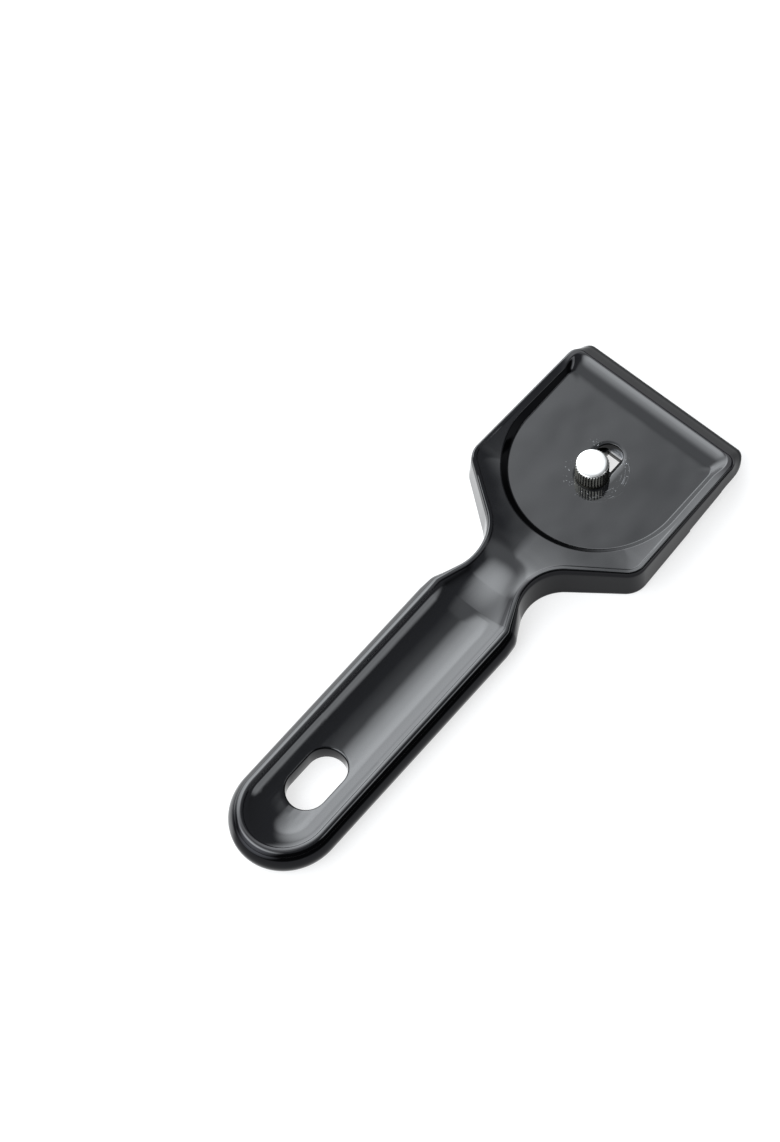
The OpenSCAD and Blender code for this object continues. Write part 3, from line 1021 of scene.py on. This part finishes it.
class Wires:
    """Lays out the nodes of one tree."""

    def __init__(self, tree: bpy.types.NodeTree) -> None:
        """Starts on the tree, emptied."""
        self.tree = tree
        tree.nodes.clear()

    def put(self, kind: str, inputs: dict[str | int, Value], **settings: object) -> bpy.types.Node:
        """Places a node.

        Args:
            kind: The node's type, after the word ShaderNode.
            inputs: What each input gets: a constant, or the socket that feeds it.
            settings: The node's own choices, such as its operation.

        Returns:
            The node.
        """
        node = self.tree.nodes.new(f"ShaderNode{kind}")
        for key, choice in settings.items():
            setattr(node, key, choice)
        for key, value in inputs.items():
            if isinstance(value, Socket):
                self.tree.links.new(value, node.inputs[key])
            else:
                node.inputs[key].default_value = value
        return node

    def math(self, operation: str, a: Value, b: Value = 0.0) -> Socket:
        """Gives the result of a Math node."""
        return self.put("Math", {0: a, 1: b}, operation=operation).outputs["Value"]

    def noise(self, place: Value, scale: Value, detail: float = 2) -> Socket:
        """Gives a noise from 0 to 1."""
        return self.put("TexNoise", {"Vector": place, "Scale": scale, "Detail": detail}).outputs["Fac"]

    def axes(self, vector: Value) -> bpy.types.bpy_prop_collection:
        """Gives the X, Y and Z of a vector."""
        return self.put("SeparateXYZ", {"Vector": vector}).outputs

    def ramp(self, value: Value, low: Value, high: Value, start: float = 0.0, end: float = 1.0) -> Socket:
        """Maps a value between start and end to the range from low to high, smoothly and clamped."""
        inputs = {"Value": value, "From Min": start, "From Max": end, "To Min": low, "To Max": high}
        return self.put("MapRange", inputs, interpolation_type="SMOOTHSTEP").outputs["Result"]

    def blend(self, share: Value, a: Value, b: Value) -> Socket:
        """Blends two colours."""
        a, b = (c if isinstance(c, Socket) else (*c, 1) for c in (a, b))
        return self.put("Mix", {"Factor": share, "A": a, "B": b}, data_type="RGBA").outputs["Result"]

    def seen(self, *kinds: str) -> Socket:
        """Gives 1 for rays of the named kinds and 0 for others.

        Args:
            kinds: Names of the kinds.

        Returns:
            The socket that carries it.
        """
        path = self.put("LightPath", {}).outputs
        total = path[kinds[0]]
        for kind in kinds[1:]:
            total = self.math("MAXIMUM", total, path[kind])
        return total


class Effect(Wires):
    """A node group that finishes share, with a Place input, named values and named outputs."""

    def __init__(self, name: str, outs: Sequence[str], **values: float) -> None:
        """Opens the group.

        Args:
            name: Name of the group.
            outs: Names of its outputs.
            values: Its inputs, each with its usual value.
        """
        tree = bpy.data.node_groups.new(name, "ShaderNodeTree")
        tree.interface.new_socket("Place", in_out="INPUT", socket_type="NodeSocketVector")
        for key, value in values.items():
            socket = tree.interface.new_socket(key, in_out="INPUT", socket_type="NodeSocketFloat")
            socket.default_value = value
        for key in outs:
            tree.interface.new_socket(key, in_out="OUTPUT", socket_type="NodeSocketFloat")
        super().__init__(tree)
        self.given = tree.nodes.new("NodeGroupInput")
        self.out = tree.nodes.new("NodeGroupOutput")

    def __getitem__(self, key: str) -> Socket:
        """Gives one of the group's inputs."""
        return self.given.outputs[key]

    def give(self, **results: Socket) -> Effect:
        """Feeds the group's outputs and ends it.

        Args:
            results: The socket that feeds each output.

        Returns:
            The effect itself.
        """
        for key, result in results.items():
            self.tree.links.new(result, self.out.inputs[key])
        return self


class Effects:
    """The shared effects, each built once."""

    def __init__(self) -> None:
        """Builds every effect."""
        self.moulding = self.build_moulding()
        self.scuffs = self.build_scuffs()
        self.brushing = self.build_brushing()
        self.ring_wear_and_glints = self.build_ring_wear_and_glints()
        self.painted_knurl_shade = self.build_painted_knurl_shade()
        self.painted_wall_shade = self.build_painted_wall_shade()

    @staticmethod
    def build_moulding() -> Effect:
        """Builds the soft waviness and the uneven gloss of a moulded surface.

        Returns:
            The effect.
        """
        fx = Effect("moulding", ("Roughness", "Height"), Scale=48, Low=.05, High=.12)
        haze = fx.noise(fx["Place"], scale=240, detail=5)
        rough = fx.ramp(haze, fx["Low"], fx["High"], start=.35, end=.7)
        return fx.give(Roughness=rough, Height=fx.noise(fx["Place"], fx["Scale"]))

    @staticmethod
    def build_scuffs() -> Effect:
        """Builds fine handling scratches, gathered where a broad noise is high.

        Returns:
            The effect.
        """
        fx = Effect("scuffs", ("Mask",), Scale=900, Patches=55, Amount=.3)
        along = fx.put("Mapping", {"Vector": fx["Place"], "Rotation": (0, 0, .7), "Scale": (1, .08, 1)})
        hairs = fx.ramp(fx.noise(along.outputs["Vector"], fx["Scale"], detail=6), 0.0, 1.0, start=.64, end=.7)
        zone = fx.ramp(fx.noise(fx["Place"], fx["Patches"]), 0.0, 1.0, start=.5, end=.75)
        return fx.give(Mask=fx.math("MULTIPLY", fx.math("MULTIPLY", hairs, zone), fx["Amount"]))

    @staticmethod
    def build_ring_wear_and_glints() -> Effect:
        """Builds nicks of wear in a ring round the screw, where fingers and its head have rubbed, and fine
        arcs that are painted glints, shown only on its right half.

        Returns:
            The effect.
        """
        fx = Effect("ring_wear_and_glints", ("Mask",), Middle=.0505, Radius=.0071, Spread=.0017, Rings=3200, Amount=1.0)
        at = fx.axes(fx["Place"])
        ahead = fx.math("SUBTRACT", at["Y"], fx["Middle"])
        flat = fx.put("CombineXYZ", {"X": at["X"], "Y": ahead}).outputs["Vector"]
        far = fx.put("VectorMath", {0: flat}, operation="LENGTH").outputs["Value"]
        off = fx.math("ABSOLUTE", fx.math("SUBTRACT", far, fx["Radius"]))
        band = fx.ramp(fx.math("DIVIDE", off, fx["Spread"]), 1.0, 0.0, start=.1)
        dots = fx.ramp(fx.noise(fx["Place"], scale=1900, detail=3), 0.0, 1.0, start=.62, end=.69)
        zone = fx.ramp(fx.noise(fx["Place"], scale=230), 0.0, 1.0, start=.46, end=.62)
        turned = fx.put("CombineXYZ", {"X": fx.math("MULTIPLY", far, fx["Rings"]),
                                       "Y": fx.math("ARCTAN2", ahead, at["X"])}).outputs["Vector"]
        arcs = fx.ramp(fx.noise(turned, scale=1.6), 0.0, .5, start=.6, end=.68)
        # Painted glints: the arcs show only on the right half, where they catch the light.
        right = fx.ramp(at["X"], 0.0, 1.0, start=.002, end=.005)
        marks = fx.math("MAXIMUM", fx.math("MULTIPLY", dots, zone), fx.math("MULTIPLY", arcs, right))
        return fx.give(Mask=fx.math("MULTIPLY", marks, fx.math("MULTIPLY", band, fx["Amount"])))

    @staticmethod
    def build_painted_wall_shade() -> Effect:
        """Builds painted shade on steep walls: walls that face away from the left lose their shine, while
        flat tops and walls that face left keep it.

        Returns:
            The effect, whose Place takes the surface's normal.
        """
        fx = Effect("painted_wall_shade", ("Mask",), Amount=0.0)
        facing = fx.axes(fx["Place"])
        # Painted shade: steep walls that don't face left get less shine, through Metallic on a near-black
        # colour.
        left = fx.ramp(facing["X"], 1.0, 0.0, start=-.6, end=-.25)
        flat = fx.ramp(facing["Z"], 0.0, 1.0, start=.8, end=.93)
        return fx.give(Mask=fx.ramp(fx.math("MAXIMUM", left, flat), fx["Amount"], 0.0))

    @staticmethod
    def build_painted_knurl_shade() -> Effect:
        """Builds the painted shade that darkens the knurled side below the polished top, standing in for the
        dark recess that the side reflects.

        Returns:
            The effect.
        """
        fx = Effect("knurl_painted_shade", ("Mask",), Top=.0134, Amount=0.0)
        drop = fx.math("SUBTRACT", fx["Top"], fx.axes(fx["Place"])["Z"])
        # Painted shade: dark from just below the top face down the whole side.
        return fx.give(Mask=fx.ramp(drop, 0.0, fx["Amount"], start=.00012, end=.0005))

    @staticmethod
    def build_brushing() -> Effect:
        """Builds the fine parallel lines of a rolled or ground metal.

        Returns:
            The effect.
        """
        fx = Effect("brushing", ("Tone", "Roughness", "Height"), Along=20, Across=2600, Low=.18, High=.34)
        scale = fx.put("CombineXYZ", {"X": fx["Along"], "Y": fx["Across"], "Z": fx["Across"]})
        spread = fx.put("VectorMath", {0: fx["Place"], 1: scale.outputs["Vector"]}, operation="MULTIPLY")
        lines = fx.noise(spread.outputs["Vector"], scale=1, detail=4)
        return fx.give(Roughness=fx.ramp(lines, fx["Low"], fx["High"], start=.3, end=.7),
                       Tone=fx.ramp(lines, .82, 1.0, start=.3, end=.7), Height=lines)


class Desk(Wires):
    """Lays out one finish on Object coordinates."""

    def __init__(self, name: str) -> None:
        """Makes an empty node material.

        Args:
            name: Name of the material.
        """
        self.material = bpy.data.materials.new(name)
        self.material.use_nodes = True
        super().__init__(self.material.node_tree)
        self.place = self.put("TexCoord", {})

    def use(self, effect: Effect, place: str = "Object", **values: float) -> bpy.types.bpy_prop_collection:
        """Places a shared effect with its own values, and gives its outputs."""
        inputs = {"Place": self.place.outputs[place], **values}
        return self.put("Group", inputs, node_tree=effect.tree).outputs

    def bump(self, height: Value, strength: float, distance: float) -> Socket:
        """Gives the normal of a surface raised by a height."""
        inputs = {"Height": height, "Strength": strength, "Distance": distance}
        return self.put("Bump", inputs).outputs["Normal"]

    def finish(self, inputs: dict[str, Value]) -> bpy.types.Material:
        """Ends the material with a shader that has these inputs.

        Args:
            inputs: What each of the shader's inputs gets.

        Returns:
            The material.
        """
        shader = self.put("BsdfPrincipled", inputs)
        self.put("OutputMaterial", {"Surface": shader.outputs["BSDF"]})
        return self.material


@dataclass(frozen=True)
class PlasticFinish:
    """A black moulded plastic, with scratches, wear and painted glints round the screw, and painted shade on
    its steep walls.
    """

    name: str
    color: Color
    gloss: Span
    wave: float
    scuff: float
    ior: float = 1.5
    ring: float = 0.0
    painted_wall_shade: float = 0.0
    wear_and_glint_color: Color = (.55, .56, .58)
    sheen_tint: tuple[float, float, float, float] = (.8, .8, .8, 1)
    wave_height: float = 0.0004
    scuff_gain: float = 3.0
    scuff_lift: float = 0.02

    def make(self, effects: Effects) -> bpy.types.Material:
        """Builds the finish.

        Args:
            effects: The shared effects.

        Returns:
            The material.
        """
        desk = Desk(self.name)
        skin = desk.use(effects.moulding, Low=self.gloss[0], High=self.gloss[1])
        scuffs = desk.use(effects.scuffs, Amount=self.scuff)["Mask"]
        scuffed = [min(1.0, c * self.scuff_gain + self.scuff_lift) for c in self.color]
        color = desk.blend(scuffs, self.color, scuffed)
        inputs = {"IOR": self.ior, "Specular Tint": self.sheen_tint,
                  "Roughness": desk.math("ADD", skin["Roughness"], scuffs),
                  "Normal": desk.bump(skin["Height"], self.wave, self.wave_height)}
        # Wear and painted glints in a ring round the screw.
        if self.ring:
            wear_and_glints = desk.use(effects.ring_wear_and_glints, Amount=self.ring)["Mask"]
            color = desk.blend(wear_and_glints, color, self.wear_and_glint_color)
        # Painted shade: steep walls that don't face left lose their shine.
        if self.painted_wall_shade:
            inputs["Metallic"] = desk.use(effects.painted_wall_shade, "Normal", Amount=self.painted_wall_shade)["Mask"]
        return desk.finish({"Base Color": color, **inputs})


@dataclass(frozen=True)
class MetalFinish:
    """A plated or ground metal, with its fine lines and a painted shade on the knurled side."""

    name: str
    color: Color
    gloss: Span
    along: float
    across: float
    relief: float
    painted_knurl_shade: float = 0.0
    painted_knurl_shade_color: Color = (.17, .165, .125)
    line_tone: float = 0.7
    line_height: float = 0.00005

    def make(self, effects: Effects) -> bpy.types.Material:
        """Builds the finish.

        Args:
            effects: The shared effects.

        Returns:
            The material.
        """
        desk = Desk(self.name)
        lines = desk.use(effects.brushing, Along=self.along, Across=self.across, Low=self.gloss[0],
                         High=self.gloss[1])
        color = desk.blend(lines["Tone"], [c * self.line_tone for c in self.color], self.color)
        # Painted shade on the knurled side below the top.
        if self.painted_knurl_shade:
            knurl_shade_mask = desk.use(effects.painted_knurl_shade, Amount=self.painted_knurl_shade)["Mask"]
            color = desk.blend(knurl_shade_mask, color, self.painted_knurl_shade_color)
        return desk.finish({"Base Color": color, "Metallic": 1.0, "Roughness": lines["Roughness"],
                            "Normal": desk.bump(lines["Height"], self.relief, self.line_height)})


Finish = Union[PlasticFinish, MetalFinish]
# GLOSS_BLACK carries wear and painted glints round the screw, and painted shade on its steep walls.
GLOSS_BLACK = PlasticFinish("gloss_black_moulding", color=(.009, .0092, .0105), gloss=(.04, .085), wave=.34,
                            scuff=.12, ior=1.85, ring=1.0, painted_wall_shade=.92)
PLATE_BLACK = PlasticFinish("plate_black_moulding", color=(.012, .012, .014), gloss=(.16, .26), wave=.15,
                            scuff=.3)
CARRIAGE_BLACK = PlasticFinish("carriage_black_moulding", color=(.008, .008, .009), gloss=(.36, .5), wave=.15,
                               scuff=.2, ior=1.33)
# NICKEL carries painted shade on the knurled side below its top.
NICKEL = MetalFinish("bright_nickel", color=(.95, .945, .93), gloss=(.1, .2), along=200, across=200,
                     relief=.02, painted_knurl_shade=.85)
DARK_STEEL = MetalFinish("dark_oxide_steel", color=(.06, .058, .052), gloss=(.35, .5), along=300, across=900,
                         relief=.1)
ZINC = MetalFinish("zinc_plated_steel", color=(.6, .61, .63), gloss=(.25, .4), along=300, across=900,
                   relief=.1)
BLADE_STEEL = MetalFinish("ground_blade_steel", color=(.66, .67, .69), gloss=(.16, .3), along=30, across=3000,
                          relief=.05)


@dataclass(frozen=True)
class SoftLight:
    """A soft round light of the room: its direction, its edges and its brightness, where 1 is white."""

    way: tuple[float, float, float]
    outer_deg: float
    inner_deg: float
    radiance: float


@dataclass
class Studio:
    """Pale floor, soft light and the photograph's camera."""

    azimuth: float = 39.53
    elevation: float = 64.0
    distance: float = 1.2
    px_per_m: float = 4220.0
    sensor: float = 36.0
    target: tuple[float, float, float] = (0, 0.0089, 0)
    target_px: tuple[float, float] = (485.0, 604.95)
    frame_px: tuple[int, int] = (780, 1142)
    floor_half: float = 4000.0
    floor_z: float = -0.02
    floor_tone: float = 0.34
    floor_lift: float = 0.72
    room_color: tuple[float, float, float, float] = (.93, .965, 1, 1)
    room_level: float = 0.085
    horizon_level: float = 0.5
    horizon: Span = (.04, .3)
    lights: tuple[SoftLight, ...] = (
        SoftLight((-.80, .25, .55), 37, 6, 3.6), SoftLight((-.28, -.70, .66), 43, 10, 4.7),
        SoftLight((.59, .34, .73), 13, 4, 2.0), SoftLight((-.50, .38, .78), 18, 11, 1.4),
        SoftLight((-.28, .02, .96), 26, 8, .6))

    def camera(self) -> bpy.types.Object:
        """Places the camera so that the target falls on its pixel, with no shift.

        Returns:
            The camera.
        """
        a, e = math.radians(self.azimuth), math.radians(self.elevation)
        ahead = Vector((-math.sin(a) * math.cos(e), math.cos(a) * math.cos(e), -math.sin(e)))
        right = Vector((math.cos(a), math.sin(a), 0))
        up = right.cross(ahead)
        focal = self.px_per_m * self.distance
        dx, dy = (px - size / 2 for px, size in zip(self.target_px, self.frame_px))
        axis = (ahead * focal - right * dx + up * dy).normalized()
        side = (right - axis * right.dot(axis)).normalized()
        data = bpy.data.cameras.new("photo_camera")
        data.sensor_fit, data.sensor_width = "AUTO", self.sensor
        data.lens = focal / self.frame_px[1] * self.sensor
        data.clip_start, data.clip_end = 0.05, 20
        camera = bpy.data.objects.new("photo_camera", data)
        turn = Matrix((side, side.cross(axis), -axis)).transposed().to_4x4()
        camera.matrix_world = Matrix.Translation(Vector(self.target) - ahead * self.distance) @ turn
        bpy.context.scene.collection.objects.link(camera)
        bpy.context.scene.camera = camera
        return camera

    def floor(self) -> bpy.types.Object:
        """Lays the pale floor, which shows white to camera, mirror and clear rays and keeps the shadow.

        Returns:
            The floor.
        """
        bm = bmesh.new()
        bmesh.ops.create_grid(bm, x_segments=2, y_segments=2, size=self.floor_half)
        bmesh.ops.translate(bm, vec=(0, 0, self.floor_z), verts=bm.verts)
        floor = make_object("studio_floor", bm)
        material = bpy.data.materials.new("pale_floor")
        material.use_nodes = True
        wires = Wires(material.node_tree)
        seen = wires.seen("Is Camera Ray", "Is Glossy Ray", "Is Transmission Ray")
        base = wires.put("BsdfDiffuse", {"Color": (*(self.floor_tone,) * 3, 1)}).outputs["BSDF"]
        glow = wires.put("Emission", {"Strength": wires.math("MULTIPLY", seen, self.floor_lift)})
        total = wires.put("AddShader", {0: base, 1: glow.outputs["Emission"]})
        wires.put("OutputMaterial", {"Surface": total.outputs["Shader"]})
        floor.data.materials.append(material)
        return floor

    def sky(self) -> None:
        """Gives the room: dim overhead, pale at the horizon, with soft lights, and white to the camera."""
        world = bpy.data.worlds.new("studio_room")
        bpy.context.scene.world = world
        world.use_nodes = True
        wires = Wires(world.node_tree)
        way = wires.put("TexCoord", {}).outputs["Generated"]
        level = wires.ramp(wires.axes(way)["Z"], self.horizon_level, self.room_level, *self.horizon)
        for lamp in self.lights:
            toward = Vector(lamp.way).normalized()
            near = wires.put("VectorMath", {0: way, 1: toward}, operation="DOT_PRODUCT")
            edges = (math.cos(math.radians(deg)) for deg in (lamp.outer_deg, lamp.inner_deg))
            level = wires.math("ADD", level, wires.ramp(near.outputs["Value"], 0.0, lamp.radiance, *edges))
        room = wires.put("Background", {"Color": self.room_color, "Strength": level}).outputs["Background"]
        white = wires.put("Background", {"Color": (1, 1, 1, 1)}).outputs["Background"]
        seen = wires.seen("Is Camera Ray", "Is Transmission Ray")
        swap = wires.put("MixShader", {"Fac": seen, 1: room, 2: white})
        wires.put("OutputWorld", {"Surface": swap.outputs["Shader"]})


class Dresser:
    """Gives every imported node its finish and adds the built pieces."""

    def __init__(self) -> None:
        """Builds the shared effects and the finishes."""
        effects = Effects()
        self.finish = {f.name: f.make(effects) for f in (GLOSS_BLACK, PLATE_BLACK, CARRIAGE_BLACK, NICKEL,
                                                         DARK_STEEL, ZINC, BLADE_STEEL)}

    def dress_node(self, frame: dict, node: Node, finish: Finish) -> None:
        """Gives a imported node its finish.

        Args:
            frame: The loaded frame.
            node: The node.
            finish: The finish that it takes.
        """
        piece = frame["nodes"][node.value]
        for slot in piece.material_slots:
            slot.material = self.finish[finish.name]
        if not piece.material_slots:
            piece.data.materials.append(self.finish[finish.name])
        LOG.info("%s: %s", node.value, finish.name)

    def dress_piece(self, piece: bpy.types.Object, finish: Finish, body: Rigid, node: Node) -> None:
        """Gives a built piece its finish and puts it in its node's place.

        Args:
            piece: The built piece.
            finish: The finish that it takes.
            body: The body it rides on.
            node: The node it stands for.
        """
        piece.data.materials.clear()
        piece.data.materials.append(self.finish[finish.name])
        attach(piece, body.value)
        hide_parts(node.value)
        LOG.info("%s stands for %s: %d faces", piece.name, node.value, len(piece.data.polygons))


def main() -> None:
    """Builds the scene in order."""
    logging.basicConfig(level=logging.INFO, format="%(name)s: %(message)s")
    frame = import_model()
    bpy.context.scene.view_settings.view_transform = "Standard"
    studio = Studio()
    studio.camera()
    studio.floor()
    studio.sky()
    dresser = Dresser()
    dresser.dress_piece(MouldedBody().build(), GLOSS_BLACK, Rigid.HANDLE, Node.BODY)
    dresser.dress_piece(KnurledScrew().build(), NICKEL, Rigid.SCREW, Node.SCREW)
    for node, finish in ((Node.SLIDE_PLATE, PLATE_BLACK), (Node.CARRIAGE, CARRIAGE_BLACK),
                         (Node.RIVETS, ZINC), (Node.NUT, ZINC), (Node.WASHER, DARK_STEEL),
                         (Node.BLADE, BLADE_STEEL), (Node.SPINE, ZINC)):
        dresser.dress_node(frame, node, finish)


if __name__ == "__main__":
    main()
